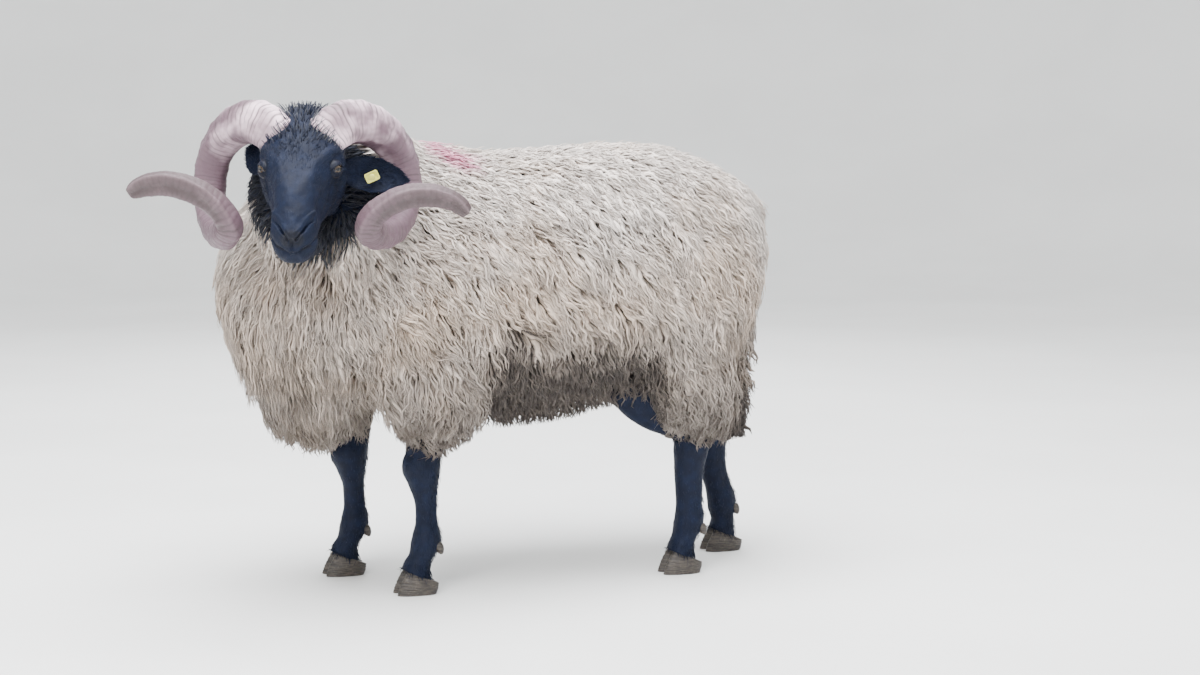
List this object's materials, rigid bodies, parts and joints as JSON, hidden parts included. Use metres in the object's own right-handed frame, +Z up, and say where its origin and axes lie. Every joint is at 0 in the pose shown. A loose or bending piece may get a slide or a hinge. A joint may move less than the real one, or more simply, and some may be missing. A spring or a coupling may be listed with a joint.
{
  "type": "horned black-faced mountain sheep",
  "caption": "Life-size standing horned black-faced mountain ram in long cream fleece, head turned to face the viewer, with curled ridged horns and a blank ear tag",
  "frame": {"origin": "centre of the bounding box on the floor plane, between the feet", "axes": "+X the way the body faces, +Y the ram's left, +Z up"},
  "size_m": [1.1909, 0.6736, 0.8293],
  "materials": {
    "fleece": "long wavy wool, cream above and grey-brown below",
    "black_hair": "short dense black hair",
    "horn": "ridged horn, pale at the root and greyer at the tip",
    "claw": "dark worn horn",
    "eye": "wet amber eye with a level dark pupil",
    "tag": "yellow moulded plastic, blank"
  },
  "bodies": {
    "root": {"ear_left": "black_hair", "ear_right": "black_hair", "ear_tag": "tag", "eye_left": "eye", "eye_right": "eye", "foreleg_left_claw_inner": "claw", "foreleg_left_claw_outer": "claw", "foreleg_left_lower": "black_hair", "foreleg_left_upper": "fleece", "foreleg_right_claw_inner": "claw", "foreleg_right_claw_outer": "claw", "foreleg_right_lower": "black_hair", "foreleg_right_upper": "fleece", "head": "black_hair", "hindleg_left_claw_inner": "claw", "hindleg_left_claw_outer": "claw", "hindleg_left_lower": "black_hair", "hindleg_left_upper": "fleece", "hindleg_right_claw_inner": "claw", "hindleg_right_claw_outer": "claw", "hindleg_right_lower": "black_hair", "hindleg_right_upper": "fleece", "horn_left": "horn", "horn_right": "horn", "neck": "fleece", "tail": "fleece", "trunk": "fleece"}
  },
  "joints": []
}
